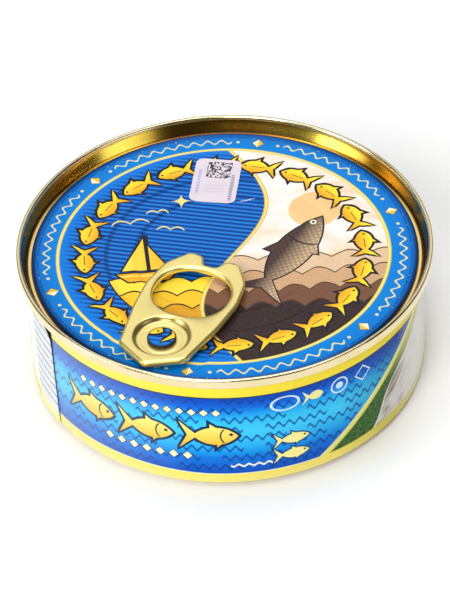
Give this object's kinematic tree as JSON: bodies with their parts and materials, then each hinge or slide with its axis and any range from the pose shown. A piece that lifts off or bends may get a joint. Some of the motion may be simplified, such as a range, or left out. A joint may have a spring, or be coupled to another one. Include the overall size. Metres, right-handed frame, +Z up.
{
  "type": "sardine tin",
  "caption": "Shut low round fish tin with a double-seamed easy-open lid, a riveted ring-pull tab, a printed stepped panel, a paper wrap label and a small paper sticker.",
  "frame": {"origin": "middle of the base plane that the tin rests on", "axes": "+Z up along the tin's axis, -Y towards the front of the label, +X to the right seen from the front"},
  "size_m": [0.1024, 0.1024, 0.036],
  "materials": {
    "tin_gold": "gold-lacquered tinplate, glossy",
    "lid_print": "blue print under clear varnish on tinplate, gold-lacquered seam",
    "tab_gold": "pale gold lacquer, satin",
    "label_paper": "blue and yellow print, gloss-coated paper",
    "sticker_paper": "white label stock, semi-matt"
  },
  "bodies": {
    "root": {"tin_body": "tin_gold", "lid": "lid_print", "pull_tab": "tab_gold", "label": "label_paper", "sticker": "sticker_paper"}
  },
  "joints": []
}
